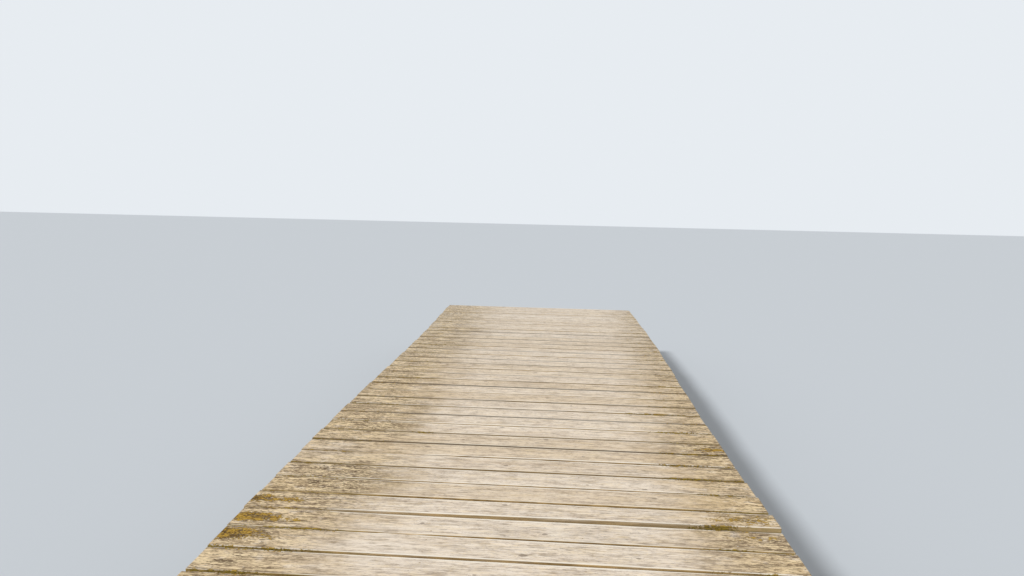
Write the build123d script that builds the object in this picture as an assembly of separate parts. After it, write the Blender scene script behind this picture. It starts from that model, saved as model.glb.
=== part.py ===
# A wooden lake jetty. Sawn boards lie across four lines of stringers, the stringers
# lie on pairs of clamps, and each pair of clamps grips two round piles that stand in
# the water. Each clamp is let into its piles and rests on the shoulders cut there.
# Millimetres. The origin is the middle of the jetty's plan at the water's surface.
# +Y runs out to the lake end, +X is to the right of someone walking out, +Z is up.
import math
import os

from build123d import *

# Deck
deck_width = 2600.0  # nominal length of a board
deck_height = 650.0  # walking surface above the water
board_width = 180.0
board_thickness = 50.0
board_gap = 18.0
gap_wander = 5.0  # how much narrower or wider than board_gap a gap may be
gap_skew = 1.5  # how much it may differ between its two ends
board_edge_round = 6.0  # worn on the two long upper edges of each board
bays = 4  # spans between pairs of piles
boards_per_bay = 12
end_wander = 4.0  # how far a sawn end may stand from the line of its neighbours
side_sway = 15.0  # how far that line swings to the left and right along the jetty
sway_length = 5670.0  # length of one whole swing
sway_start = 970.0  # where the line crosses to the right going out, from the middle
long_board = 15  # the board that stands out past its neighbours, counted from the shore end
long_board_extra = 12.0  # at each of its ends
long_board_taper = 34.0  # how much narrower it is at its right end
corner_round = 60.0  # broken corner of the last board, right of the lake end

# Stringers, which run along the jetty under the boards
stringer_width = 100.0
stringer_height = 180.0
stringer_joint = 5.0  # open joint between two lengths of one line
stringer_end_inset = 12.0  # from the deck's end

# Piles and the clamps that grip them
pile_diameter = 220.0
pile_inset = 250.0  # deck's side to pile centre
end_overhang = 197.0  # deck's end to the first line of piles
tenon_thickness = 130.0  # what the clamps' seats leave of a pile's head
clamp_width = 80.0
clamp_height = 200.0
clamp_overhang = 40.0  # past the outer side of the piles

board_count = bays * boards_per_bay
board_pitch = board_width + board_gap
deck_length = board_count * board_pitch - board_gap
board_underside = deck_height - board_thickness
stringer_underside = board_underside - stringer_height
clamp_underside = stringer_underside - clamp_height
pile_radius = pile_diameter / 2
pile_offset = deck_width / 2 - pile_inset
clamp_length = 2 * (pile_offset + pile_radius + clamp_overhang)
bent_spacing = (deck_length - 2 * end_overhang) / bays
stringer_end = deck_length / 2 - stringer_end_inset


def block(x_span, y_span, z_span):
    """A plain squared timber between three pairs of limits."""
    size = [high - low for low, high in (x_span, y_span, z_span)]
    middle = [(low + high) / 2 for low, high in (x_span, y_span, z_span)]
    return Pos(*middle) * Box(*size)


def bent_place(bent):
    """Distance along the jetty of a pair of piles, numbered from 0 at the shore end."""
    return (bent - bays / 2) * bent_spacing


def board_ends(number):
    """Left and right end of a deck board, laid by eye and so never quite in line."""
    middle = number * board_pitch + board_width / 2 - deck_length / 2
    sway = side_sway * math.sin(2 * math.pi * (middle - sway_start) / sway_length)
    reach = deck_width / 2
    if number == long_board - 1:
        reach += long_board_extra
    left = reach + end_wander * math.sin(2.1 * number)
    right = reach + end_wander * math.sin(1.3 * number + 1.0)
    return sway - left, sway + right


def half_gap(number, side):
    """Half the gap after a board, at its left (-1) or right (+1) end. Every third gap is narrow."""
    narrowing = gap_wander * math.cos(2.08 * (number - 12))
    skew = gap_skew * math.sin(1.7 * number)
    return (board_gap - narrowing + side * skew) / 2


def board_edges(number, side):
    """Shore and lake edge of a board at its left (-1) or right (+1) end."""
    near = number * board_pitch - deck_length / 2
    far = near + board_width
    if number > 0:
        near += half_gap(number - 1, side) - board_gap / 2
    if number < board_count - 1:
        far -= half_gap(number, side) - board_gap / 2
    if number == long_board - 1 and side > 0:
        near += long_board_taper
    return near, far


def deck_board(number):
    """One board, a little out of square, with its upper long edges rounded."""
    left, right = board_ends(number)
    near_left, far_left = board_edges(number, -1)
    near_right, far_right = board_edges(number, 1)
    corners = [(left, near_left), (right, near_right), (right, far_right), (left, far_left)]
    plan = Pos(0, 0, board_underside) * make_face(Polyline(corners, close=True))
    board = extrude(plan, board_thickness)
    upper_edges = board.faces().sort_by(Axis.Z)[-1].edges()
    board = fillet(upper_edges.sort_by(SortBy.LENGTH)[-2:], board_edge_round)
    if number == board_count - 1:
        up_to_far_edge = Pos((left + right) / 2, far_left - board_width)
        limit = up_to_far_edge * Rectangle(right - left, 2 * board_width)
        outer_corner = limit.vertices().sort_by(Axis.Y)[-2:].sort_by(Axis.X)[-1]
        limit = Pos(0, 0, board_underside) * fillet(outer_corner, corner_round)
        board &= extrude(limit, board_thickness)
    return board


def stringer(x, start, end):
    """One length of a stringer line."""
    across = (x - stringer_width / 2, x + stringer_width / 2)
    return block(across, (start, end), (stringer_underside, board_underside))


def stringer_lengths(joints):
    """The lengths of one line that is cut over the bents named in joints."""
    cuts = [bent_place(bent) for bent in joints]
    starts = [-stringer_end] + [cut + stringer_joint / 2 for cut in cuts]
    ends = [cut - stringer_joint / 2 for cut in cuts] + [stringer_end]
    return list(zip(starts, ends))


def pile(x, y):
    """A round pile with a seat cut for a clamp on both sides of its head."""
    foot = Cylinder(pile_radius, clamp_underside, align=(Align.CENTER, Align.CENTER, Align.MIN))
    head = Cylinder(pile_radius, clamp_height, align=(Align.CENTER, Align.CENTER, Align.MIN))
    tenon = Box(
        pile_diameter,
        tenon_thickness,
        clamp_height,
        align=(Align.CENTER, Align.CENTER, Align.MIN),
    )
    return Pos(x, y) * (foot + Pos(0, 0, clamp_underside) * (head & tenon))


def clamp(y, side):
    """One timber of a pair, on the shore side (-1) or the lake side (+1) of the piles."""
    inner = y + side * tenon_thickness / 2
    outer = inner + side * clamp_width
    along = (min(inner, outer), max(inner, outer))
    return block((-clamp_length / 2, clamp_length / 2), along, (clamp_underside, stringer_underside))


def write(node, shape):
    export_step(shape, f"parts/{node}.step")


os.makedirs("parts", exist_ok=True)

for bay in range(bays):
    first = bay * boards_per_bay
    boards = [deck_board(number) for number in range(first, first + boards_per_bay)]
    write(f"deck_boards_bay_{bay + 1}", Compound(children=boards))

outer_joints = [bays // 2]
inner_joints = sorted({1, bays - 1})
lines = {
    "left_outer": (-pile_offset, outer_joints),
    "left_inner": (-pile_offset / 3, inner_joints),
    "right_inner": (pile_offset / 3, inner_joints),
    "right_outer": (pile_offset, outer_joints),
}
for line, (x, joints) in lines.items():
    for number, (start, end) in enumerate(stringer_lengths(joints), 1):
        write(f"stringer_{line}_{number}", stringer(x, start, end))

for bent in range(bays + 1):
    y = bent_place(bent)
    write(f"pile_left_{bent + 1}", pile(-pile_offset, y))
    write(f"pile_right_{bent + 1}", pile(pile_offset, y))
    write(f"clamp_shore_side_{bent + 1}", clamp(y, -1))
    write(f"clamp_lake_side_{bent + 1}", clamp(y, 1))
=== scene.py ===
import math

import bpy
import numpy as np
from mathutils import Matrix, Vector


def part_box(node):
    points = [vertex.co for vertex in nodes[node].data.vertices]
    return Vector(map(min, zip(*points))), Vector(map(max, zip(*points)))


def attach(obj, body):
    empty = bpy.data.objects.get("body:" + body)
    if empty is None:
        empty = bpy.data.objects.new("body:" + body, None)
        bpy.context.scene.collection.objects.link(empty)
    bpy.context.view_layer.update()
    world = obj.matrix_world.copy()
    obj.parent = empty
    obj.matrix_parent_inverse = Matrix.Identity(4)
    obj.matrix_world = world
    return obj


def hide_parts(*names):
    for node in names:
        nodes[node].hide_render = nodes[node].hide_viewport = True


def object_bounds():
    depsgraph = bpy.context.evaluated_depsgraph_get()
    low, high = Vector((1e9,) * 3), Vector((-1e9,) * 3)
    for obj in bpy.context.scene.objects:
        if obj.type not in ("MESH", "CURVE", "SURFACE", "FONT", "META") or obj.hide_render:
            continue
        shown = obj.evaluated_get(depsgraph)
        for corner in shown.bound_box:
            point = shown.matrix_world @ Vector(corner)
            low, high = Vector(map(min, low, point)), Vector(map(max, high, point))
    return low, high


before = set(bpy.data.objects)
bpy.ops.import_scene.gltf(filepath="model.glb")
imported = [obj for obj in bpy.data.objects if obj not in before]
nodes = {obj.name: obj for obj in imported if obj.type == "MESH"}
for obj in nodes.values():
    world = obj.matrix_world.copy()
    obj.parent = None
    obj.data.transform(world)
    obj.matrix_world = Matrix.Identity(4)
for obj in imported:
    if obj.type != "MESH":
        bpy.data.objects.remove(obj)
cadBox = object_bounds()


def cornersOf(node):
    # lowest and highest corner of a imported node, as two arrays
    low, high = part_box(node)
    return np.array(low), np.array(high)


def verticesOf(node):
    spots = np.zeros(len(nodes[node].data.vertices) * 3, np.float32)
    nodes[node].data.vertices.foreach_get("co", spots)
    return spots.reshape(-1, 3).astype(float)


def nodesNamed(start):
    return [name for name in sorted(nodes) if name.startswith(start)]


# shader writing: a wire is one socket, and sums or products of wires add Math nodes
def operator(operation, isTurned=False):
    def write(wire, other):
        inputs = (other, wire) if isTurned else (wire, other)
        return wire.finish.math(operation, *inputs)

    return write


class Wire:
    def __init__(self, finish, socket):
        self.finish = finish
        self.socket = socket

    __add__ = __radd__ = operator("ADD")
    __sub__ = operator("SUBTRACT")
    __rsub__ = operator("SUBTRACT", isTurned=True)
    __mul__ = __rmul__ = operator("MULTIPLY")
    __truediv__ = operator("DIVIDE")
    __rtruediv__ = operator("DIVIDE", isTurned=True)
    __pow__ = operator("POWER")

    def __abs__(self):
        return self.finish.math("ABSOLUTE", self)


class Finish:
    # one material, and the helpers that write its nodes
    def __init__(self, name, paints, **constants):
        self.paints = paints
        self.material = bpy.data.materials.new(name)
        self.material.use_nodes = True
        self.tree = self.material.node_tree
        self.tree.nodes.clear()
        self.shader = self.tree.nodes.new("ShaderNodeBsdfPrincipled")
        output = self.tree.nodes.new("ShaderNodeOutputMaterial")
        self.tree.links.new(self.shader.outputs[0], output.inputs[0])
        self.feed(**constants)

    def fill(self, node, values):
        for key, value in values.items():
            if isinstance(value, Wire):
                self.tree.links.new(value.socket, node.inputs[key])
            else:
                node.inputs[key].default_value = value

    def feed(self, **values):
        # values or wires for the Principled shader
        self.fill(self.shader, {key.replace("_", " "): value for key, value in values.items()})
        return self.material

    def node(self, kind, inputs=(), out=0, **settings):
        # inputs are values or wires for its sockets, by place or by name
        made = self.tree.nodes.new("ShaderNode" + kind)
        for key, value in settings.items():
            setattr(made, key, value)
        self.fill(made, inputs if isinstance(inputs, dict) else dict(enumerate(inputs)))
        return Wire(self, made.outputs[out])

    def math(self, operation, *inputs):
        return self.node("Math", inputs, operation=operation)

    def split(self, vector):
        made = self.node("SeparateXYZ", [vector]).socket.node
        return [Wire(self, out) for out in made.outputs]

    def place(self):
        return self.split(self.node("TexCoord", out="Object"))

    def number(self, name, out="Fac"):
        return self.node("Attribute", out=out, attribute_name=name)

    def vector(self, name):
        return self.split(self.number(name, "Vector"))

    def join(self, x, y, z):
        return self.node("CombineXYZ", [x, y, z])

    def reach(self, x, y, z=0.0):
        # length of a vector
        return self.node("VectorMath", [self.join(x, y, z)], "Value", operation="LENGTH")

    def noise(self, x, y, z=0.0, detail=2.0, roughness=0.5):
        # x, y and z are already in waves, not metres
        sockets = {"Vector": self.join(x, y, z), "Scale": 1.0}
        sockets |= {"Detail": detail, "Roughness": roughness}
        return self.node("TexNoise", sockets)

    def waves(self, value, length):
        # a sine of the value, from 0 to 1 and back in each length
        return self.math("SINE", value * (2 * math.pi / length)) * 0.5 + 0.5

    def cells(self, x, y, z):
        # distance from the middle of the nearest of many scattered cells
        return self.node("TexVoronoi", {"Vector": self.join(x, y, z), "Scale": 1.0})

    def step(self, value, low, high):
        # 0 below low, 1 above high and smooth between; turned round where low is the larger
        sockets = {"Value": value, "From Min": low, "From Max": high}
        return self.node("MapRange", sockets, interpolation_type="SMOOTHSTEP")

    def mix(self, factor, first, second):
        # colours are wires, or paints that are made linear
        sockets = {0: factor}
        for place, colour in ((6, first), (7, second)):
            sockets[place] = colour if isinstance(colour, Wire) else linear(self.paints[colour])
        return self.node("Mix", sockets, 2, data_type="RGBA")

    def coats(self, colour, *layers):
        # each layer is the share of the colour that it covers, and its paint
        for share, paint in layers:
            colour = self.mix(share, colour, paint)
        return colour

    def relief(self, height, distance, strength):
        sockets = {"Height": height, "Distance": distance, "Strength": strength}
        return self.node("Bump", sockets)


def linear(paint):
    # red, green and blue as they are read off a screen, 0 to 255, made linear
    shares = np.array(paint) / 255
    curved = np.where(shares <= 0.04045, shares / 12.92, ((shares + 0.055) / 1.055) ** 2.4)
    return (*curved.tolist(), 1.0)


def newObject(name, data):
    made = bpy.data.objects.new(name, data)
    bpy.context.scene.collection.objects.link(made)
    return made


# camera, fitted to the photograph's deck edges and gap lines
view = {
    "eye": (0.1876, -5.1526, 1.5244),  # right of the middle, along the deck, above the boards
    "yaw": -3.428,
    "pitch": -7.196,
    "roll": 1.265,
    "lens": 24.33,
    "sensor": 36.0,
}


def addCamera():
    # turned about the upright, then raised from looking straight down, then rolled
    yaw, pitch, roll = (math.radians(view[name]) for name in ("yaw", "pitch", "roll"))
    turn = Matrix.Rotation(-yaw, 4, "Z") @ Matrix.Rotation(math.pi / 2 + pitch, 4, "X")
    data = bpy.data.cameras.new("camera")
    data.lens = view["lens"]
    data.sensor_width = view["sensor"]
    camera = newObject("camera", data)
    x, y, height = view["eye"]
    place = Matrix.Translation((x, y, cadBox[1][2] + height))
    camera.matrix_world = place @ turn @ Matrix.Rotation(roll, 4, "Z")
    bpy.context.scene.camera = camera


addCamera()
print("camera placed")


# meshes
def meshPiece(name, points, faces, finish, slot, sharp=35):
    # faces is a list of arrays, each with one row of corners per face
    loops = np.concatenate([part.ravel() for part in faces]).astype(np.int32)
    sizes = np.concatenate([np.full(len(part), part.shape[1]) for part in faces])
    starts = np.concatenate([[0], np.cumsum(sizes)[:-1]]).astype(np.int32)
    data = bpy.data.meshes.new(name)
    data.vertices.add(len(points))
    data.vertices.foreach_set("co", np.asarray(points, np.float32).ravel())
    data.loops.add(len(loops))
    data.loops.foreach_set("vertex_index", loops)
    data.polygons.add(len(sizes))
    data.polygons.foreach_set("loop_start", starts)
    data.update(calc_edges=True)
    data.validate()
    data.shade_smooth()
    data.set_sharp_from_angle(angle=math.radians(sharp))
    data.materials.append(finish)
    piece = newObject(name, data)
    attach(piece, "root")
    return piece


def giveNumbers(piece, **columns):
    # one number or one vector for each vertex, or the same one for all of them
    count = len(piece.data.vertices)
    for name, values in columns.items():
        values = np.asarray(values, np.float32)
        isVector = values.ndim == 2 or values.shape == (3,)
        kind, key = ("FLOAT_VECTOR", "vector") if isVector else ("FLOAT", "value")
        values = np.broadcast_to(values, (count, 3) if isVector else (count,))
        piece.data.attributes.new(name, kind, "POINT").data.foreach_set(key, values.ravel())


def closedSkin(rings):
    # quads between neighbouring rings and one face of many corners over each end, all turned
    # round if the volume they enclose comes out negative
    points = rings.reshape(-1, 3)
    ringCount, ringSize = rings.shape[:2]
    here = np.arange(ringSize)
    after = (here + 1) % ringSize
    first = np.arange(ringCount - 1)[:, None] * ringSize
    corners = (here, after, after + ringSize, here + ringSize)
    quads = np.stack([first + corner for corner in corners], axis=-1).reshape(-1, 4)
    faces = [quads, here[None, ::-1], (ringCount - 1) * ringSize + here[None]]
    volume = 0.0
    for part in faces:
        corner = points[part[:, 0]]
        for one in range(1, part.shape[1] - 1):
            volume += (corner * np.cross(points[part[:, one]], points[part[:, one + 1]])).sum()
    return points, faces if volume > 0 else [part[:, ::-1] for part in faces]


def wander(chance, stations, wavelength):
    # a smooth uneven line from -1 to 1: random heights at even places, joined by half cosines
    place = (stations - stations.min()) / wavelength + chance.uniform(0, 1)
    heights = chance.uniform(-1, 1, int(place.max()) + 2)
    low = np.floor(place).astype(int)
    share = (1 - np.cos(np.pi * (place - low))) / 2
    return heights[low] * (1 - share) + heights[low + 1] * share


def uneven(chance, stations, depth, wavelength):
    # goes between nothing and twice the depth
    return depth * (1 + wander(chance, stations, wavelength))


def wornArrises(chance, stations, count, least, most, wavelength):
    # edge radii at every station, each between the least and the most
    waves = [wander(chance, stations, wavelength) for edge in range(count)]
    return [least + (most - least) * wave ** 2 for wave in waves]


def lens(x, middle, reach):
    # 1 around the middle, falling to 0 where the reach ends on both sides
    return np.clip(1.6 * (1 - np.abs(x - middle) / reach), 0, 1)


def closerAtEnds(length, count, crowding=0.55):
    # stations along a length, nearer together towards both ends
    share = np.linspace(0, 1, count)
    return length * ((1 - crowding) * share + crowding * (1 - np.cos(np.pi * share)) / 2)


# sawn timbers: a section with rounded arrises and drying cracks, carried along
crackShape = {
    "middle": (0.15, 0.85),  # share of the timber's length
    "reach": (0.10, 0.45),  # from its middle to its ends
    "splitReach": (0.12, 0.40),  # of a split, from the timber's end
    "sway": (0.004, 0.3),  # how far it wanders off its line, and over what length
    "closed": 0.0003,  # half its width where it has closed
    "clear": 0.05,  # share of the side beside it that takes no other points
}


def dryingCrack(chance, stations, share, width, depth, atEnd=None):
    # a lens-shaped opening along the timber, or a split that narrows from one end
    length = stations.max()
    if atEnd is None:
        middle = chance.uniform(*crackShape["middle"]) * length
        opening = lens(stations, middle, chance.uniform(*crackShape["reach"]))
    else:
        reach = chance.uniform(*crackShape["splitReach"])
        opening = np.clip(1 - np.abs(stations - atEnd * length) / reach, 0, 1)
    most, wavelength = crackShape["sway"]
    sway = most * wander(chance, stations, wavelength)
    return {"share": share, "opening": opening, "sway": sway, "width": width, "depth": depth}


def crackPair(chance, stations, places, split, crack):
    # a split and a crack, each in its own range of places across a side
    shares = [chance.uniform(*place) for place in places]
    return [
        dryingCrack(chance, stations, shares[0], *split, chance.choice([0, 1])),
        dryingCrack(chance, stations, shares[1], *crack),
    ]


def sideColumns(start, end, inward, points, hollow=0.0, cracks=()):
    # points across one side, where a crack is a groove of three
    across = end - start
    along = across / np.linalg.norm(across, axis=1, keepdims=True)
    columns = [(crack["share"], offset, crack) for crack in cracks for offset in (-1, 0, 1)]
    for share in np.linspace(0, 1, points):
        if all(abs(share - crack["share"]) > crackShape["clear"] for crack in cracks):
            columns.append((share, 0, None))
    made = []
    for share, offset, crack in sorted(columns, key=lambda column: column[:2]):
        column = start + across * share + inward * (4 * hollow * share * (1 - share))
        if crack is not None:
            opening = crack["opening"][:, None]
            gape = crackShape["closed"] + crack["width"] / 2 * opening
            column = column + along * (crack["sway"][:, None] + offset * gape)
            if offset == 0:
                column = column + inward * crack["depth"] * opening
        made.append(column)
    return made


def sawnSection(corners, radii, steps, sides):
    # corners, each across and up, and radii go round the section in order. A side runs between
    # the ends of its arrises, and an arris is a quarter of a circle between two sides.
    corners = [np.stack(corner, axis=1) for corner in corners]
    columns = []
    for which in range(4):
        here, ahead, beyond = (corners[(which + turn) % 4] for turn in range(3))
        along = (ahead - here) / np.linalg.norm(ahead - here, axis=1, keepdims=True)
        inward = (beyond - ahead) / np.linalg.norm(beyond - ahead, axis=1, keepdims=True)
        following = (which + 1) % 4
        radius = radii[following][:, None]
        end = ahead - along * radius
        columns += sideColumns(here + along * radii[which][:, None], end, inward, **sides[which])
        for turn in np.linspace(0, math.pi / 2, steps[following] + 1)[1:-1]:
            columns.append(end + radius * (along * math.sin(turn) + inward * (1 - math.cos(turn))))
    return np.stack(columns, axis=1)


def carried(stations, section, wear):
    # the section at every station, and a smaller ring at each end for its worn edge
    along = np.broadcast_to(stations[:, None, None], (*section.shape[:2], 1))
    rings = np.concatenate([along, section], axis=2)
    ends = rings[[0, -1]].copy()
    flat = ends[:, :, 1:]
    high, low = flat.max(axis=1, keepdims=True), flat.min(axis=1, keepdims=True)
    middle, half = (high + low) / 2, (high - low) / 2
    flat[:] = middle + (flat - middle) * (1 - wear / half)
    rings[0, :, 0] += wear
    rings[-1, :, 0] -= wear
    return np.concatenate([ends[:1], rings, ends[1:]])


# finish of the weathered deck boards
deckPaint = {
    "pale": (253, 240, 223),
    "mid": (236, 219, 199),
    "tan": (211, 181, 131),
    "farTan": (212, 199, 180),
    "dull": (148, 129, 104),
    "endGrain": (158, 138, 112),
    # underside and lower walls: damp brown, darkened further as painted shade
    "shadedDampUnderside": (132, 113, 88),
    "streak": (148, 126, 100),
    "brown": (106, 88, 66),
    "grey": (240, 230, 218),
    "knot": (122, 106, 92),
    # pale edges: wear, brightened further as a painted highlight
    "arris": (254, 246, 232),
    "fleck": (244, 221, 179),
    # walls in the gaps: the khaki of algae, painted lighter as if lit by the sun
    "wall": (208, 176, 120),
    "wallDark": (152, 124, 78),
    "wallPale": (242, 216, 172),
    # painted dark along the gaps, set gap by gap
    "gapTone": (84, 68, 46),
    "moss": (182, 142, 44),
    "mossDark": (88, 62, 16),
    "mossTip": (216, 182, 92),
    "gapMoss": (158, 140, 58),
    "stain": (104, 98, 94),
    "ringSpacing": 0.0042,
}


def makeDeckFinish():
    wood = Finish("weathered_deck_board", deckPaint, Roughness=0.85, Specular_IOR_Level=0.2)
    step, noise, number = wood.step, wood.noise, wood.number
    along, across, up = wood.vector("grainPlace")
    seed = number("boardSeed")
    tone = number("boardTone")  # -1 dark and tan, 1 pale
    side = number("sideways")  # 0 on the walked middle, 1 at the deck's sides
    edge = number("arris")  # 1 on the upper long edges
    wall = number("wall")  # 1 on the sides in the gaps
    mossy = number("mossy")
    gapTone = number("gapTone")  # on and beside the walls: -1 painted paler, 1 painted darker
    away = number("outward")  # share of the way to the lake end
    stained = number("stained")  # 1 in grey-brown places, -1 in bleached ones
    x, y, z = along + seed * 40, across, up + seed * 9

    # knots, and the grain that bends round them
    swirl, knot = 0, 0
    for name in ("knotOne", "knotTwo"):
        knotAlong, knotAcross, size = wood.vector(name)
        near = wood.reach((along - knotAlong) / (size * 1.7), (across - knotAcross) / size)
        near = near + (noise(x * 90, y * 90) - 0.5) * 0.7
        swirl = swirl + step(near, 3.4, 0.3)
        knot = knot + step(near, 1.05, 0.6)

    # growth rings: distance from a pith line that wanders under the board
    pith = (noise(x * 0.8, seed * 7) - 0.5) * 0.2 + (seed - 0.5) * 0.1
    wobble = noise(x * 2.4, y * 16, z * 16)
    rings = wood.reach(y - pith, up + 0.05 + seed * 0.05) + wobble * 0.022 + swirl * 0.012
    ring = wood.waves(rings, deckPaint["ringSpacing"])

    # streaks, fibres, speckle and large blotches
    streak = noise(x * 1.7, y * 62 + swirl * 1.5, z * 50, 4, 0.62)
    dash = noise(x * 12, y * 110 + swirl * 2, z * 90, 4, 0.65)
    fibre = noise(x * 11, y * 460 + swirl * 4, z * 400, 3, 0.6)
    blotch = noise(x * 3.2, y * 8, seed * 17, 4, 0.6)
    mottle = noise(x * 7.5, y * 54, z * 50, 5, 0.66)
    speckle = noise(x * 40, y * 125, z * 110, 3, 0.7)
    cloud = noise(along * 1.8, wood.place()[1] * 2.6, 3, 3, 0.6)  # crosses the boards
    smudge = noise(x * 8, y * 17, z * 12, 5, 0.68)
    band = noise(x * 2.6, y * 24, z * 20, 3, 0.6)
    sides = step(side + (blotch - 0.5), 0.04, 0.76)
    rough = 0.34 + step(side + (cloud - 0.5) * 0.8, 0.3, 0.95) * 0.66
    rough = rough * (stained * 0.5 + 1)

    # tone of the board, tan towards the deck's sides, then stains and weather
    sideTan = wood.mix(step(away, 0.35, 0.9), "tan", "farTan")
    dull = step(cloud + (mottle - 0.5) * 0.5, 0.5, 0.7) * (0.1 + sides * 0.45)
    dull = dull + stained * step(mottle + blotch * 0.5, 0.6, 0.85)
    worn = 0.34 + sides * 0.46
    fromEdge = number("fromEdge") + (mottle - 0.5) * 0.04
    colour = wood.coats(
        "mid",
        (step(streak, 0.38, 0.6), "pale"),
        (step(tone, 0.1, -1) * 0.4, "tan"),
        (step(tone, 0.1, 1) * 0.55, "pale"),
        (step(away + (blotch - 0.5) * 0.3, 0.45, 1) * 0.7, "grey"),
        (step(blotch, 0.5, 0.68) * 0.45, "mid"),
        (sides * (0.62 + seed * 0.34), sideTan),
        (dull, "dull"),
        (stained * -0.6, "pale"),
        (step(smudge, 0.5, 0.34) * worn, "dull"),
        (step(smudge, 0.52, 0.68) * worn, "pale"),
        (ring ** 3 * 0.18, "streak"),
        (step(streak, 0.44, 0.3) * 0.3, "streak"),
        (step(dash, 0.47, 0.32) * 0.66, "streak"),
        (step(fibre, 0.47, 0.32) * 0.44, "streak"),
        (step(band, 0.5, 0.34) * rough * 0.55, "streak"),
        (step(band, 0.52, 0.66) * rough * 0.45, "fleck"),
        (step(mottle, 0.5, 0.38) * rough * 0.85, "brown"),
        (step(mottle, 0.53, 0.61) * rough * 0.8, "fleck"),
        (step(speckle, 0.46, 0.37) * rough * 0.9, "brown"),
        (step(speckle, 0.54, 0.61) * rough * 0.9, "fleck"),
        (step(fromEdge, 0.03, 0.002) * sides * 0.35, "brown"),
        (knot * 0.65, "knot"),
    )

    # dark halo of each nail: their rows cross the board over the stringers
    lineAlong, lineAcross, shift = wood.vector("nailRow")
    halo = 0
    for row in (-1, 1):
        fromLine = abs(abs(along - row * shift) - 2 * lineAlong) - lineAlong
        near = wood.reach(fromLine * 0.6, across - row * lineAcross)
        halo = halo + step(near + (fibre - 0.5) * 0.01, 0.014, 0.004)

    # worn pale arrises with a painted highlight, khaki walls painted lighter at their top as if
    # sunlit, the underside and lower walls darker from damp and painted shade, and the sawn ends
    stretch = noise(x * 3.5, seed * 11, y * 6)  # where along the edge it is worn and carries the painted highlight
    wearAndHighlightAt = edge + (mottle - 0.5) * 0.8 + (stretch - 0.5) - sides * 0.45 - gapTone * 0.5
    sunlitWallPaint = wood.coats(
        "wall",
        (step(mottle, 0.62, 0.38), "wallDark"),
        (step(speckle, 0.44, 0.58) * sides * 0.5, "gapMoss"),
        # paler walls where a gap is set faint
        (step(gapTone, 0, -1) * 0.8, "wallPale"),
    )
    shadedDampUnderPaint = wood.mix(step(dash, 0.52, 0.36), "shadedDampUnderside", "brown")
    greyed = (step(blotch, 0.42, 0.62) * 0.6, "grey")
    endShade = wood.coats("endGrain", greyed, (ring * 0.55, "brown"))
    colour = wood.coats(
        colour,
        (halo * 0.08, "stain"),
        # pale edges: wear and a painted highlight
        (step(wearAndHighlightAt, 0.06, 0.64) * 0.75, "arris"),
        # the walls' own khaki with painted sunlight
        (wall, sunlitWallPaint),
        # painted darker along the gaps, as dark lines between the boards
        (step(gapTone + (mottle - 0.5) * 0.6, 0.15, 0.85) * 0.85, "gapTone"),
        # painted shade over the damp underside and lower walls
        (number("shadedDampUnder") * 0.85, shadedDampUnderPaint),
        (number("endGrain") * 0.9, endShade),
    )

    # moss where the boards stay damp: thick clumps on some board ends, thin in the gaps
    tuft = noise(x * 80, y * 110, z * 110, 3, 0.7)
    clump = noise(x * 17, y * 34, z * 34, 3, 0.62)
    patch = step(mossy + (clump - 0.5) * 2.6 + (tuft - 0.5) * 3.2, 0.54, 0.86)
    patch = patch * step(mossy, 0.04, 0.26)
    mossShade = wood.coats(
        "moss",
        (step(tuft + (clump - 0.5) * 0.9, 0.6, 0.44), "mossDark"),
        (step(tuft, 0.56, 0.66) * 0.7, "mossTip"),
        (wall * 0.7, "gapMoss"),
    )
    colour = wood.mix(patch * 0.92, colour, mossShade)

    height = fibre * 0.35 + ring * 0.3 + dash * 0.6 + streak * 0.4 - knot * 0.2
    height = height + patch * tuft * 3 + speckle * sides * 0.6 + mottle * sides * 0.6
    return wood.feed(Base_Color=colour, Normal=wood.relief(height, 0.0024, 0.9))


deckFinish = makeDeckFinish()


# deck boards
deck = {
    "boards": 48,
    "nodes": nodesNamed("deck_boards_"),
    "gap": 0.018,  # between nominal boards
    "seed": 100,
    "stations": 104,  # rings along a board
    "points": (15, 4, 5, 4),  # across its top, lake side, underside and shore side
    "arrisSteps": (4, 4, 1, 1),  # in which its upper and its lower edges are rounded
    "arris": (0.0015, 0.0040, 0.2),  # least and most worn edge radius, length of its waves
    "lowerArris": 0.002,
    "unevenEdge": (0.0008, 0.35),  # depth and length of the waves
    "unevenTop": (0.0006, 0.6),
    "cupping": 0.0020,
    "tilt": 0.0012,
    "level": (0.001, 0.0022),  # least and most that a board lies below the highest
    "endWear": 0.0025,
    # places across the top, width and depth of the crack from one end, and of the other
    "cracks": (((0.12, 0.45), (0.55, 0.88)), (0.0030, 0.012), (0.0022, 0.009)),
    "nailLines": 0.35,  # half the distance between the two inner stringers
    "nailAcross": 0.053,  # a row's distance from the board's middle
    "nailShift": 0.012,  # how far a row may be moved along the board
    "crust": (0.0030, 0.0015),  # most that lichen narrows a gap from each side, left and right
    "packing": 0.0090,  # most that packed dirt narrows it from each side
    "halfOpen": 0.0015,  # half of what always stays open
    # half the walked middle: left, right, more at the lake end, and the length it fades over
    "walked": (0.40, 0.48, 0.35, 0.75),
    # where the gaps turn damp: left and right of the middle line, and over what length
    "damp": (0.72, 0.80, 0.35),
    "edgeReach": 0.008,  # over which the marks along an edge fade out
    "mossDown": 0.035,  # how far moss reaches down the walls
    "mostMoss": 1.35,
    "thinMoss": (0.56, 0.016),  # in the damp gaps: strength, and reach from the edge
    "gapMoss": (0.95, 0.5, 0.014),  # in named gaps: strength, fall to the rim, and reach
}
perBay = deck["boards"] // len(deck["nodes"])


def byBoard(groups):
    return {board: value for value, boards in groups.items() for board in boards}


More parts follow.
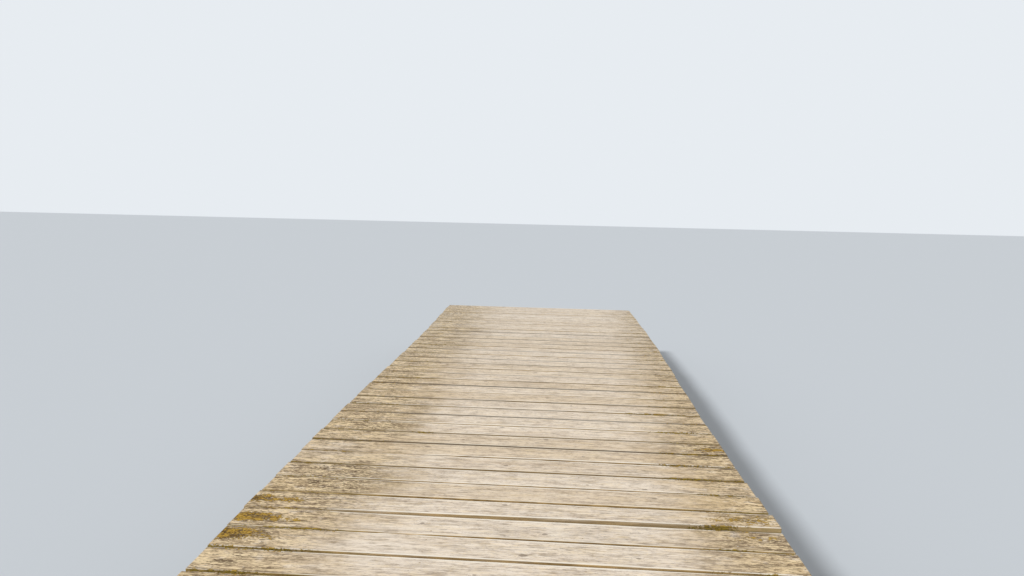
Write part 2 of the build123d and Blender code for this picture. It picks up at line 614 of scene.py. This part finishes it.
mossPatches = [
    # board from the shore end, middle and reach along it from the deck's middle line, middle
    # and reach across it, and strength
    (15, -1.29, 0.13, 0.004, 0.045, 1.4),
    (15, -1.12, 0.13, -0.006, 0.036, 1.0),
    (14, -1.24, 0.20, -0.004, 0.048, 1.4),
    (14, -1.02, 0.14, -0.020, 0.034, 0.6),
    (13, -1.26, 0.15, 0.020, 0.060, 1.5),
    (13, -1.12, 0.12, 0.002, 0.030, 0.9),
    (14, 1.14, 0.24, 0.030, 0.050, 0.55),
    (15, 1.16, 0.24, 0.000, 0.070, 0.75),
    (20, 1.22, 0.16, -0.005, 0.038, 1.0),
]
seenTone = {0.9: (12, 13, 14, 17, 22, 23, 33, 39, 45, 46), -0.6: (19, 20, 25, 27, 36, 43, 47)}
seenTone = byBoard(seenTone)
stains = [
    # grey-brown places: middle across and along the deck, reach across and along, and strength,
    # which is less than 0 where the wood is bleached instead
    (-0.93, -0.66, 0.26, 0.13, 1.0),
    (-0.84, -1.58, 0.24, 0.18, 1.5),
    (1.12, -0.95, 0.22, 0.20, 0.6),
    (-1.13, -1.18, 0.28, 0.22, -1.0),
    (-0.62, -2.32, 0.34, 0.17, -1.1),
]
seenGapTone = {
    # how dark the walls are: in the gaps after which boards
    0.6: (19, 22, 26),
    0.52: (31, 33, 35, 36, 37, 38),
    0.42: (17, 20, 24, 28, 30),
    0.25: (23, 27),
    0.0: (13, 15, 16, 18, 25, 29, 32, 34),
    -0.2: (12,),
    -0.45: (14, 21),
}
seenGapTone = byBoard(seenGapTone)
otherGapTone = {"seed": 900, "near": (-0.3, 0.5), "far": (-0.3, 0.2), "farFrom": 39}
wideGap = {"after": 14, "cleanFrom": 1.12}  # no lichen right of there
closings = {
    # packed dirt: gap after this board, middle and reach from the deck's middle line
    13: (-0.47, 0.11),
    14: (-1.22, 0.42),
    15: (-1.15, 0.45),
    18: (-0.95, 0.65),
}
gapMoss = [
    # gap after this board, middle and reach from the deck's middle line
    (12, -1.27, 0.07),
    (12, -0.97, 0.09),
    (11, -1.10, 0.12),
    (13, -0.95, 0.17),
    (14, 1.00, 0.13),
    (16, 1.10, 0.14),
    (17, 0.98, 0.16),
    (18, 0.98, 0.18),
    (19, 1.08, 0.20),
    (20, -0.64, 0.08),
    (21, 1.05, 0.18),
    (23, 0.95, 0.20),
]
seenKnots = {
    # board: along from the deck's middle line, across from the board's middle, size
    12: [(-0.10, -0.018, 0.006), (0.62, 0.030, 0.010)],
    13: [(0.091, -0.042, 0.014), (0.593, -0.016, 0.008)],
    14: [(0.183, -0.030, 0.010), (-0.40, 0.020, 0.008)],
    15: [(-0.022, 0.048, 0.010), (0.254, -0.086, 0.012)],
    16: [(-0.411, -0.084, 0.012), (0.75, 0.020, 0.010)],
    18: [(-0.055, -0.012, 0.010), (-0.714, 0.010, 0.010)],
    19: [(-0.56, 0.040, 0.013), (0.40, -0.020, 0.008)],
}


def deckBoards():
    # the plan of each board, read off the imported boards: ends, and edges at both ends
    spots = np.concatenate([verticesOf(node) for node in deck["nodes"]])
    low, high = spots.min(axis=0), spots.max(axis=0)
    pitch = (high[1] - low[1] + deck["gap"]) / deck["boards"]
    number = np.floor((spots[:, 1] - low[1] + deck["gap"] / 2) / pitch).astype(int)
    plans = []
    for board in range(deck["boards"]):
        own = spots[number == board]
        left, right = own[:, 0].min(), own[:, 0].max()
        atLeft, atRight = (own[np.abs(own[:, 0] - end) < 0.002, 1] for end in (left, right))
        isLast = board == deck["boards"] - 1
        farRight = own[:, 1].max() if isLast else atRight.max()
        plan = {"ends": (left, right), "outward": board / (deck["boards"] - 1)}
        plan |= {"near": (atLeft.min(), atRight.min()), "far": (atLeft.max(), farRight)}
        plan["corner"] = farRight - atRight.max()  # radius of the broken corner
        plan["room"] = [0.0, 0.0]  # widths of the gaps before and after it
        plans.append(plan)
    for one, two in zip(plans, plans[1:]):
        one["room"][1] = two["room"][0] = min(np.subtract(two["near"], one["far"]))
    return plans, low[2], high[2]


def dampness(x):
    # 0 over the middle of the deck and 1 near its sides
    left, right, over = deck["damp"]
    return np.clip((np.abs(x) - np.where(x < 0, left, right)) / over, 0, 1)


def gapToneOf(gap):
    # both boards beside a gap get the same
    span = otherGapTone["near" if gap < otherGapTone["farFrom"] else "far"]
    return seenGapTone.get(gap, np.random.default_rng(otherGapTone["seed"] + gap).uniform(*span))


def closedAt(gap, x):
    # 1 where a gap is packed with dirt as far as it goes, 0 where it is free
    return lens(x, *closings[gap]) if gap in closings else 0 * x


def isOuterSide(number, across):
    # the outer half of the first or last board, which lies at no gap
    return (number == 1) & (across < 0) | (number == deck["boards"]) & (across > 0)


def mossOn(number, x, across, fromEdge):
    # strength of the moss: thin in all damp gaps, full in the middle of each named place
    thin, reachIn = deck["thinMoss"]
    inGap = np.clip(1 - fromEdge / reachIn, 0, 1) * ~isOuterSide(number, across)
    mossy = thin * dampness(x) * inGap
    if number - wideGap["after"] in (0, 1):
        mossy = mossy * (x < wideGap["cleanFrom"])
    for board, middle, reach, place, width, strength in mossPatches:
        if board == number:
            away = ((x - middle) / reach) ** 2 + ((across - place) / width) ** 2
            mossy = np.maximum(mossy, strength - 0.85 * away)
    full, fall, reachIn = deck["gapMoss"]
    for gap, middle, reach in gapMoss:
        edge = {gap: 1, gap + 1: -1}.get(number)
        if edge is not None:
            away = ((x - middle) / reach) ** 2
            atEdge = np.clip(1 - fromEdge / reachIn, 0, 1) * (across * edge > 0)
            mossy = np.maximum(mossy, (full - fall * away) * atEdge)
    return np.clip(mossy, 0, deck["mostMoss"])


def sidewaysAt(x, outward):
    # 0 over the walked middle of the deck and 1 near its sides
    left, right, more, over = deck["walked"]
    return np.clip((np.abs(x) - np.where(x < 0, left, right + more * outward)) / over, 0, 1)


def stainedAt(x, y):
    # full in the middle of each place and falling off like a bell
    away = [((x - a) / reach) ** 2 + ((y - b) / depth) ** 2 for a, b, reach, depth, _ in stains]
    return sum(place[4] * np.exp(-far) for place, far in zip(stains, away))


def boardEdges(chance, number, plan, stations):
    # shore and lake edge: uneven, moved out by lichen and packed dirt, and cut back round a
    # broken corner
    left, right = plan["ends"]
    share, x = stations / (right - left), stations + left
    near = np.interp(share, (0, 1), plan["near"]) + uneven(chance, stations, *deck["unevenEdge"])
    far = np.interp(share, (0, 1), plan["far"]) - uneven(chance, stations, *deck["unevenEdge"])
    crust = np.where(x < 0, *deck["crust"]) * dampness(x)
    growth = []
    for gap, room in zip((number - 1, number), plan["room"]):
        own = crust * (0.6 + 0.4 * wander(chance, stations, 0.05))
        own = own + deck["packing"] * closedAt(gap, x)
        growth.append(np.minimum(own, max(room / 2 - deck["halfOpen"], 0)))
    corner = plan["corner"]
    fromCorner = np.clip(corner - (right - left - stations), 0, corner)
    return near - growth[0], far + growth[1] - (corner - np.sqrt(corner**2 - fromCorner**2))


def measured(board, name, x):
    # a measure of the board at some distance from the deck's middle line
    left, right = board["ends"]
    return np.interp((x - left) / (right - left), board["share"], board[name])


def boardLooks(chance, board, points, bottom, thick):
    # what the finish reads at every vertex
    number, (left, right) = board["number"], board["ends"]
    x, y, z = points.T
    across = y - measured(board, "middle", x)
    fromEdge = measured(board, "half", x) - np.abs(across)
    fromEnd = np.minimum(x - left, right - x)
    below = measured(board, "top", x) - z
    shoreSide, isOuter = across < 0, isOuterSide(number, across)
    gapTone = np.where(shoreSide, gapToneOf(number - 1), gapToneOf(number))
    packed = np.where(shoreSide, closedAt(number - 1, x), closedAt(number, x))
    wall = np.clip((below - 0.0004) / 0.0016, 0, 1) * (fromEdge < 0.012)
    onEdge = np.clip(1.4 - fromEdge / deck["edgeReach"], 0, 1) * (below < 0.003)
    besideWall = np.clip(1.2 - fromEdge / deck["edgeReach"], 0, 1)
    lower = np.clip(3 * below / thick - 1, 0, 1)  # the lower two thirds of the walls, painted darker as shade
    spare = [(chance.uniform(-1.1, 1.1), chance.uniform(-0.07, 0.07), s) for s in (0.011, 0.007)]
    knots = seenKnots.get(number, spare)
    return {
        "grainPlace": np.column_stack([x, across, z - bottom]),
        "boardSeed": chance.uniform(0, 1),
        "boardTone": seenTone.get(number, chance.uniform(-0.8, 0.6)),
        "sideways": sidewaysAt(x, board["outward"]),
        "outward": board["outward"],
        "stained": stainedAt(x, y),
        "arris": onEdge * (1 - 0.8 * packed),  # duller beside packed dirt
        "wall": wall * np.where(isOuter, 0.3, 1.0),
        "shadedDampUnder": np.where(isOuter, z < bottom + 0.001, lower),
        "fromEdge": fromEdge,
        "gapTone": gapTone * besideWall * ~isOuter,
        "endGrain": fromEnd < deck["endWear"] / 2,
        "mossy": mossOn(number, x, across, fromEdge) * (below < deck["mossDown"]),
        "knotOne": knots[0],
        "knotTwo": knots[1],
        "nailRow": (deck["nailLines"], deck["nailAcross"], board["shift"]),
    }


def nailPlaces(board):
    # two rows over the four stringers, at their share of the board's tilt and hollow
    spots = []
    for row in (-1, 1):
        x = deck["nailLines"] * np.array([-3, -1, 1, 3]) + row * board["shift"]
        y = measured(board, "middle", x) + row * deck["nailAcross"]
        z = measured(board, "top", x) + row * board["tilt"] * 0.6 - board["cup"] * 0.65
        spots.append(np.column_stack([x, y, z]))
    return np.concatenate(spots)


def addBoard(number, plan, bottom, highest):
    # numbered from 1 at the shore end
    chance = np.random.default_rng(deck["seed"] + number)
    left, right = plan["ends"]
    stations = closerAtEnds(right - left, deck["stations"])
    near, far = boardEdges(chance, number, plan, stations)
    shift = chance.uniform(-deck["nailShift"], deck["nailShift"])
    cup = deck["cupping"] * chance.uniform(-0.4, 1.0)
    tilt = chance.uniform(-deck["tilt"], deck["tilt"])
    top = highest - chance.uniform(*deck["level"]) - abs(tilt) - max(-cup, 0)
    top = top - uneven(chance, stations, *deck["unevenTop"])
    low = 0 * top + bottom
    corners = [(near, top - tilt), (far, top + tilt), (far, low), (near, low)]
    radii = wornArrises(chance, stations, 2, *deck["arris"])
    radii += [np.full(len(stations), deck["lowerArris"])] * 2
    sides = [{"points": count} for count in deck["points"]]
    sides[0] |= {"hollow": cup, "cracks": crackPair(chance, stations, *deck["cracks"])}
    section = sawnSection(corners, radii, deck["arrisSteps"], sides)
    rings = carried(stations, section, deck["endWear"])
    rings[:, :, 0] += left
    points, faces = closedSkin(rings)
    piece = meshPiece(f"deck_board_{number:02d}", points, faces, deckFinish, "deck_board")
    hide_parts(deck["nodes"][(number - 1) // perBay])
    board = plan | {"number": number, "share": stations / (right - left), "top": top}
    board |= {"middle": (near + far) / 2, "half": (far - near) / 2}
    board |= {"shift": shift, "tilt": tilt, "cup": cup}
    giveNumbers(piece, **boardLooks(chance, board, points, bottom, highest - bottom))
    return nailPlaces(board)


plans, boardBottom, boardTop = deckBoards()
nailSpots = [addBoard(number, plan, boardBottom, boardTop) for number, plan in enumerate(plans, 1)]
print("deck boards laid:", len(plans))


# finish of the timbers under the deck
timberPaint = {
    "pale": (176, 158, 130),
    "mid": (150, 130, 102),
    "dark": (104, 86, 64),
    "grey": (158, 152, 142),
    "endGrain": (132, 108, 78),
    "damp": (84, 70, 52),
    "algae": (96, 96, 58),
    "ringSpacing": 0.0055,
}


def makeTimberFinish(name, wet):
    # wet gives two heights above the water, between which the timber goes from damp to dry
    wood = Finish(name, timberPaint, Roughness=0.86, Specular_IOR_Level=0.2)
    step, noise = wood.step, wood.noise
    along, across, up = wood.vector("grainPlace")
    seed = wood.number("timberSeed")
    height = wood.place()[2]
    x, y, z = along + seed * 50, across + seed * 3, up + seed * 5

    # growth rings round a pith line: circles on the ends, lines on the sides
    bend = (noise(x * 0.7, 1) - 0.5) * 0.05
    rings = wood.reach(across - bend, up - (seed - 0.5) * 0.06)
    rings = rings + (noise(x * 2, y * 14, z * 14) - 0.5) * 0.016
    ring = wood.waves(rings, timberPaint["ringSpacing"])
    streak = noise(x * 1.8, y * 55, z * 55, 4, 0.62)
    fibre = noise(x * 10, y * 380, z * 380, 3, 0.6)
    blotch = noise(x * 3, y * 7, z * 7, 4, 0.6)
    speckle = noise(x * 60, y * 110, z * 110, 3, 0.7)
    saw = noise(x * 150, y * 6, z * 6, 1)  # marks of the saw, across the grain
    drip = noise(x * 22, y * 22, height * 1.5, 3, 0.6)

    # knots: the middles of sparse cells, longer along the timber
    knot = step(wood.cells(x * 2.2, y * 8, z * 8) + (speckle - 0.5) * 0.12, 0.17, 0.09)

    damp = step(height + (drip - 0.5) * 0.16 + (blotch - 0.5) * 0.1, wet[1], wet[0])
    algae = damp * step(speckle * 0.5 + blotch * 0.5, 0.46, 0.56)
    endShade = wood.mix(ring * 0.7, "endGrain", "dark")
    colour = wood.coats(
        "mid",
        (step(streak, 0.36, 0.62), "pale"),
        (step(blotch, 0.46, 0.66) * (0.25 + seed * 0.5), "grey"),
        (ring ** 3 * 0.3, "dark"),
        (step(fibre, 0.47, 0.3) * 0.4, "dark"),
        (step(drip, 0.5, 0.7) * 0.55, "dark"),
        (step(speckle, 0.4, 0.28) * 0.6, "damp"),
        (knot * 0.7, "damp"),
        (damp * 0.72, "damp"),
        (algae * 0.65, "algae"),
        (wood.number("endGrain") * 0.75, endShade),
    )
    relief = fibre * 0.4 + ring * 0.35 + streak * 0.4 + saw * 0.5 - knot * 0.3 + speckle * 0.2
    return wood.feed(Base_Color=colour, Normal=wood.relief(relief, 0.0026, 0.9))


# stringers and clamps
stringers = {
    "nodes": nodesNamed("stringer_"),
    "axis": 1,
    "seed": 340,
    "slot": "stringer",
    "finish": makeTimberFinish("weathered_stringer", (0.38, 0.50)),
    "perMetre": 24,
}
clamps = {
    "nodes": nodesNamed("clamp_"),
    "axis": 0,
    "seed": 300,
    "slot": "clamp",
    "finish": makeTimberFinish("damp_clamp", (0.24, 0.44)),
    "perMetre": 32,
}
timber = {
    "arris": (0.003, 0.012, 0.35),  # as a board's
    "bow": (0.0006, 0.5),  # of the sawn sides: depth and length of the waves
    "endWear": 0.004,
    "cracks": (((0.25, 0.45), (0.55, 0.75)), (0.005, 0.022), (0.005, 0.022)),  # as a board's
    "points": (5, 7, 5, 7),  # across its top, right side, underside and left side
}


def addTimber(node, kind, seed):
    # rounded arrises, and cracks in its two upright sides
    chance = np.random.default_rng(seed)
    low, high = cornersOf(node)
    axis, other = kind["axis"], 1 - kind["axis"]
    length = high[axis] - low[axis]
    stations = closerAtEnds(length, int(20 + kind["perMetre"] * length), 0.35)
    bow = [uneven(chance, stations, *timber["bow"]) for side in range(2)]
    left, right = low[other] + bow[0], high[other] - bow[1]
    bottom, top = 0 * left + low[2], 0 * left + high[2]
    corners = [(left, top), (right, top), (right, bottom), (left, bottom)]
    radii = wornArrises(chance, stations, 4, *timber["arris"])
    sides = [{"points": count} for count in timber["points"]]
    for side in (1, 3):
        sides[side]["cracks"] = crackPair(chance, stations, *timber["cracks"])
    rings = carried(stations, sawnSection(corners, radii, [3] * 4, sides), timber["endWear"])
    placed = rings[:, :, [axis, other, 2]]
    placed[:, :, axis] += low[axis]
    points, faces = closedSkin(placed)
    piece = meshPiece(f"{node}_timber", points, faces, kind["finish"], kind["slot"])
    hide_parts(node)
    along, across, up = rings.reshape(-1, 3).T
    middle = (low + high) / 2
    giveNumbers(
        piece,
        grainPlace=np.column_stack([along, across - middle[other], up - middle[2]]),
        timberSeed=chance.uniform(0, 1),
        endGrain=np.minimum(along, length - along) < timber["endWear"] / 2,
    )


for kind in (stringers, clamps):
    for which, node in enumerate(kind["nodes"]):
        addTimber(node, kind, kind["seed"] + which)
    print("timbers laid:", len(kind["nodes"]), kind["slot"])


# piles
pilePaint = {
    "pale": (166, 150, 126),
    "mid": (132, 114, 90),
    "dark": (82, 68, 52),
    "wet": (56, 48, 38),
    "algae": (82, 88, 44),
    "scum": (150, 144, 118),
}
# heights above the water: from dry to damp, two lines, from damp to wet
waterMarks = {"damp": (0.26, 0.13), "scum": 0.135, "algae": 0.075, "wet": (0.075, 0.035)}


def makePileFinish():
    # a peeled log: long fibres, trimmed branch stubs, and bands of wet, algae and scum
    wood = Finish("weathered_pile", pilePaint, Specular_IOR_Level=0.3)
    step, noise = wood.step, wood.noise
    x, y, z = wood.place()
    seed = wood.number("timberSeed")
    fibre = noise(x * 260, y * 260, z * 7 + seed * 9, 3, 0.6)
    streak = noise(x * 42, y * 42, z * 2 + seed * 9, 4, 0.6)
    blotch = noise(x * 9, y * 9, z * 6 + seed * 9, 4, 0.6)
    speckle = noise(x * 95, y * 95, z * 60, 3, 0.7)
    stub = wood.cells(x * 7, y * 7, z * 4 + seed * 5) + (speckle - 0.5) * 0.1
    knot = step(stub, 0.16, 0.08)
    level = z + (blotch - 0.5) * 0.07 + (streak - 0.5) * 0.03
    wet = step(level, *waterMarks["wet"])
    scum = step(abs(level - waterMarks["scum"]), 0.016, 0.004)
    scum = scum * step(speckle, 0.4, 0.56)
    algae = step(abs(level - waterMarks["algae"]), 0.06, 0.02)
    algae = algae * step(speckle * 0.6 + blotch * 0.4, 0.42, 0.52)
    colour = wood.coats(
        "mid",
        (step(streak, 0.36, 0.62), "pale"),
        (step(fibre, 0.48, 0.3) * 0.55, "dark"),
        (step(blotch, 0.5, 0.68) * 0.5, "dark"),
        (knot * 0.8, "dark"),
        (step(level, *waterMarks["damp"]) * 0.65, "dark"),
        (scum * 0.55, "scum"),
        (algae * 0.85, "algae"),
        (wet * 0.9, "wet"),
    )
    relief = fibre * 0.5 + streak * 0.6 + algae * speckle * 1.2 + knot * 0.5
    normal = wood.relief(relief, 0.0035, 0.9)
    return wood.feed(Base_Color=colour, Roughness=0.85 - wet * 0.45, Normal=normal)


pileFinish = makePileFinish()
piles = {
    "nodes": nodesNamed("pile_"),
    "seed": 500,
    "rounds": 84,  # plain points round a section
    "heights": 15,  # rings below the seats, and again above them
    "uneven": (0.0012, 0.0008),  # depth of the slow and of the quick waves round a section
    "cracks": 3,
    "crack": (0.006, 0.030),  # width and depth
    "closed": 0.0005,  # half a crack's width where it has closed
    "sway": (0.03, 0.2),  # angle that a crack wanders by, and over what height
    "crackRoom": 0.07,  # angle on both sides of a crack that takes no other points
    "endWear": 0.006,
}


def addPile(node, seed):
    # radius against angle and height, less its drying cracks, and cut off at the seats' flat
    # sides above the shoulders
    chance = np.random.default_rng(seed)
    low, high = cornersOf(node)
    corners = verticesOf(node)
    centre = (low + high)[:2] / 2
    radius = (high - low)[0] / 2
    head = corners[corners[:, 2] > high[2] - 0.001]
    seat = (head[:, 1].max() - head[:, 1].min()) / 2
    below = corners[np.abs(corners[:, 1] - centre[1]) > seat + 0.01]
    shoulder = below[:, 2].max()

    wear, turnOnce = piles["endWear"], 2 * math.pi
    lower = np.linspace(0, shoulder - low[2], piles["heights"])
    upper = np.linspace(shoulder - low[2] + 0.0005, high[2] - low[2], piles["heights"])
    heights = np.concatenate([[0], lower, upper, upper[-1:]])
    isEnd = np.zeros(len(heights), bool)
    isEnd[[0, -1]] = True
    heights[1] += wear
    heights[-2] -= wear
    count = piles["cracks"]
    cracks = np.sort(chance.uniform(0, turnOnce / count, count))
    cracks = cracks + np.arange(count) * turnOnce / count
    angles = np.linspace(0, turnOnce, piles["rounds"], endpoint=False)
    apart = np.abs((angles[:, None] - cracks + math.pi) % turnOnce - math.pi)
    columns = [(angle, 0, None) for angle in angles[(apart > piles["crackRoom"]).all(axis=1)]]
    for which, crack in enumerate(cracks):
        columns += [(crack % turnOnce, side, which) for side in (-1, 0, 1)]
    phases = chance.uniform(0, turnOnce, 3)
    openings, sways = [], []
    most, wavelength = piles["sway"]
    for crack in cracks:
        openings.append(np.clip((heights - chance.uniform(-0.1, 0.15)) / 0.25, 0.12, 1))
        sways.append(most * wander(chance, heights, wavelength))
    (slow, quick), (width, depth) = piles["uneven"], piles["crack"]
    rings = []
    for angle, side, which in sorted(columns, key=lambda column: column[:2]):
        turn = np.full(len(heights), angle)
        out = radius - slow * (1 + np.sin(2 * angle + phases[0] + heights))
        out = out - quick * (1 + np.sin(5 * angle + phases[1] - 3 * heights)) - isEnd * wear
        if which is not None:
            gape = piles["closed"] + width / 2 * openings[which]
            turn = turn + sways[which] + side * gape / radius
            if side == 0:
                out = out - depth * openings[which]
        limit = np.where(heights > shoulder - low[2] + 0.0002, seat - isEnd * wear * 0.5, radius)
        across = np.clip(out * np.sin(turn), -limit, limit)
        x, y = centre[0] + out * np.cos(turn), centre[1] + across
        rings.append(np.column_stack([x, y, heights + low[2]]))
    points, faces = closedSkin(np.stack(rings, axis=1))
    piece = meshPiece(f"{node}_log", points, faces, pileFinish, "pile")
    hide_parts(node)
    giveNumbers(piece, timberSeed=chance.uniform(0, 1))
    return centre


pilePlaces = [addPile(node, piles["seed"] + which) for which, node in enumerate(piles["nodes"])]
print("piles stood:", len(pilePlaces))


# steel: bolts through clamps and piles, nail heads over the stringers
boltPaint = {
    "steel": (132, 128, 122),
    "rust": (122, 72, 40),
    "darkRust": (74, 46, 32),
    "metal": 0.75,
}
nailPaint = {
    "steel": (208, 198, 182),
    "rust": (192, 168, 136),
    "darkRust": (166, 142, 114),
    "metal": 0.25,
}


def makeSteelFinish(name, steelPaint):
    # dull zinc gone grey, with rust breaking through in patches
    steel = Finish(name, steelPaint, Specular_IOR_Level=0.5)
    x, y, z = steel.place()
    patch = steel.noise(x * 70, y * 70, z * 70, 5, 0.65)
    grain = steel.noise(x * 600, y * 600, z * 600, 3, 0.6)
    rusted = steel.step(patch + (grain - 0.5) * 0.3, 0.42, 0.54)
    rust = steel.mix(steel.step(grain, 0.4, 0.6), "darkRust", "rust")
    colour = steel.mix(rusted, "steel", rust)
    metal = steelPaint["metal"]
    metallic = metal - rusted * (metal * 0.93)
    normal = steel.relief(patch * rusted + grain * 0.4, 0.0012, 0.8)
    roughness = 0.48 + rusted * 0.4
    return steel.feed(Base_Color=colour, Metallic=metallic, Roughness=roughness, Normal=normal)


boltFinish = makeSteelFinish("rusted_bolt_steel", boltPaint)
nailFinish = makeSteelFinish("dull_nail_steel", nailPaint)
bolts = {
    "seed": 700,
    "places": ((-0.045, 0.275), (0.045, 0.365)),  # across from the pile's middle, above the water
    "rod": 0.010,
    "threadPitch": 0.0025,
    "standsOut": 0.012,  # rod past the nut
    "nut": (0.015, 0.016),  # half its width across flats, and its height
    "washer": (0.025, 0.004),  # half its side, and its thickness
}
nails = {"radius": 0.0042, "sides": 10, "proud": 0.0003}


def turnedShape(outline, sections):
    # sections is a list of heights and of shares of the outline's size there
    return np.stack([np.insert(outline * share, 2, height, axis=1) for height, share in sections])


def polygonOutline(corners, count, softness):
    # a regular polygon of unit inner radius: one over the cosine of the angle from the middle
    # of a flat, with its corners cut back to softness
    angles = np.linspace(0, 2 * math.pi, count, endpoint=False)
    fromFlat = (angles + math.pi / corners) % (2 * math.pi / corners) - math.pi / corners
    reach = np.minimum(1 / np.cos(fromFlat), softness)
    return np.column_stack([reach * np.cos(angles), reach * np.sin(angles)])


def boltParts():
    # washer, nut and threaded rod end
    halfSide, thick = bolts["washer"]
    flats, nutHeight = bolts["nut"]
    square = polygonOutline(4, 32, 1.32)
    hexagon = polygonOutline(6, 48, 1.12)
    circle = polygonOutline(24, 24, 1.0)
    washer = [(-0.003, 1.0), (0.0, 1.0), (thick - 0.0006, 1.0), (thick, 0.975)]
    top = thick + nutHeight
    nut = [(thick - 0.001, 0.9), (thick, 0.93), (thick + 0.0015, 1.0)]
    nut += [(top - 0.0015, 1.0), (top, 0.93), (top + 0.0001, 0.72)]
    end = top + bolts["standsOut"]
    turns = np.arange(top - 0.002, end - 0.001, bolts["threadPitch"] / 4)
    depths = np.tile([1.0, 0.965, 0.93, 0.965], len(turns) // 4 + 1)[: len(turns)]
    rod = [*zip(turns, depths), (end - 0.0008, 0.90), (end, 0.80)]
    shapes = [(square, washer, halfSide), (hexagon, nut, flats), (circle, rod, bolts["rod"])]
    return [turnedShape(outline * scale, sections) for outline, sections, scale in shapes]


def gathered(solids):
    # several closed skins as one list of points and faces
    points, faces, first = [], [], 0
    for rings in solids:
        own, ownFaces = closedSkin(rings)
        points.append(own)
        faces += [part + first for part in ownFaces]
        first += len(own)
    return np.concatenate(points), faces


def addBolts(node, centre, outerFace):
    chance = np.random.default_rng(bolts["seed"] + int(node[-1]) + 10 * (centre[0] > 0))
    solids = []
    for across, height in bolts["places"]:
        for side in (-1, 1):
            turn = chance.uniform(0, 2 * math.pi)
            for which, rings in enumerate(boltParts()):
                spin = chance.uniform(-0.12, 0.12) if which == 0 else turn
                x = rings[..., 0] * math.cos(spin) - rings[..., 1] * math.sin(spin)
                z = rings[..., 0] * math.sin(spin) + rings[..., 1] * math.cos(spin)
                y = side * (outerFace + rings[..., 2])
                solids.append(np.stack([centre[0] + across + x, centre[1] + y, height + z], axis=-1))
    points, faces = gathered(solids)
    meshPiece(f"bolts_{node[5:]}", points, faces, boltFinish, "steel_fixing", 28)


def addNails(bay, spots):
    # each head is three rings: sunk in the wood, at its rim and on its low crown
    rise = nails["proud"]
    outline = polygonOutline(nails["sides"], nails["sides"], 1.0) * nails["radius"]
    head = turnedShape(outline, [(-0.0020, 0.9), (rise, 1.0), (rise + 0.0003, 0.6)])
    points, faces = gathered([head + spot for spot in spots])
    meshPiece(f"nails_bay_{bay}", points, faces, nailFinish, "steel_fixing")


for node, centre in zip(piles["nodes"], pilePlaces):
    low, high = cornersOf("clamp_lake_side_" + node[-1])
    addBolts(node, centre, high[1] - centre[1] - timber["bow"][0])
print("bolts drawn up:", 4 * len(pilePlaces), "ends")
for bay in range(len(deck["nodes"])):
    addNails(bay + 1, np.concatenate(nailSpots[bay * perBay : (bay + 1) * perBay]))
print("nail heads driven:", sum(len(spots) for spots in nailSpots))


# plain studio
stage = {
    "floor": (0.60, 0.64, 0.68, 1.0),
    "sky": (0.80, 0.84, 0.88, 1.0),
    "reach": 60.0,
    "fill": 0.50,
    "sun": 2.2,
    "sunTurn": (48.0, 0.0, -62.0),
    "sunSize": 9.0,
}


def addStage():
    reach = stage["reach"]
    corners = [(x * reach, y * reach, 0) for x, y in ((-1, -1), (1, -1), (1, 1), (-1, 1))]
    data = bpy.data.meshes.new("floor")
    data.from_pydata(corners, [], [(0, 1, 2, 3)])
    finish = Finish("pale_floor", {}, Roughness=0.9, Specular_IOR_Level=0.1)
    data.materials.append(finish.feed(Base_Color=stage["floor"]))
    newObject("floor", data)

    # white light from all round, and the sky's own colour where the camera sees it
    world = bpy.data.worlds.new("studio")
    world.use_nodes = True
    bpy.context.scene.world = world
    tree = world.node_tree
    white = tree.nodes["Background"]
    white.inputs["Color"].default_value = (1, 1, 1, 1)
    white.inputs["Strength"].default_value = stage["fill"]
    sky = tree.nodes.new("ShaderNodeBackground")
    sky.inputs["Color"].default_value = stage["sky"]
    path = tree.nodes.new("ShaderNodeLightPath")
    chosen = tree.nodes.new("ShaderNodeMixShader")
    wires = (path.outputs["Is Camera Ray"], white.outputs[0], sky.outputs[0])
    for wire, socket in zip(wires, chosen.inputs):
        tree.links.new(wire, socket)
    tree.links.new(chosen.outputs[0], tree.nodes["World Output"].inputs[0])

    data = bpy.data.lights.new("sun", "SUN")
    data.energy = stage["sun"]
    data.angle = math.radians(stage["sunSize"])
    newObject("sun", data).rotation_euler = [math.radians(angle) for angle in stage["sunTurn"]]
    bpy.context.scene.view_settings.view_transform = "Standard"


addStage()
print("studio lit")
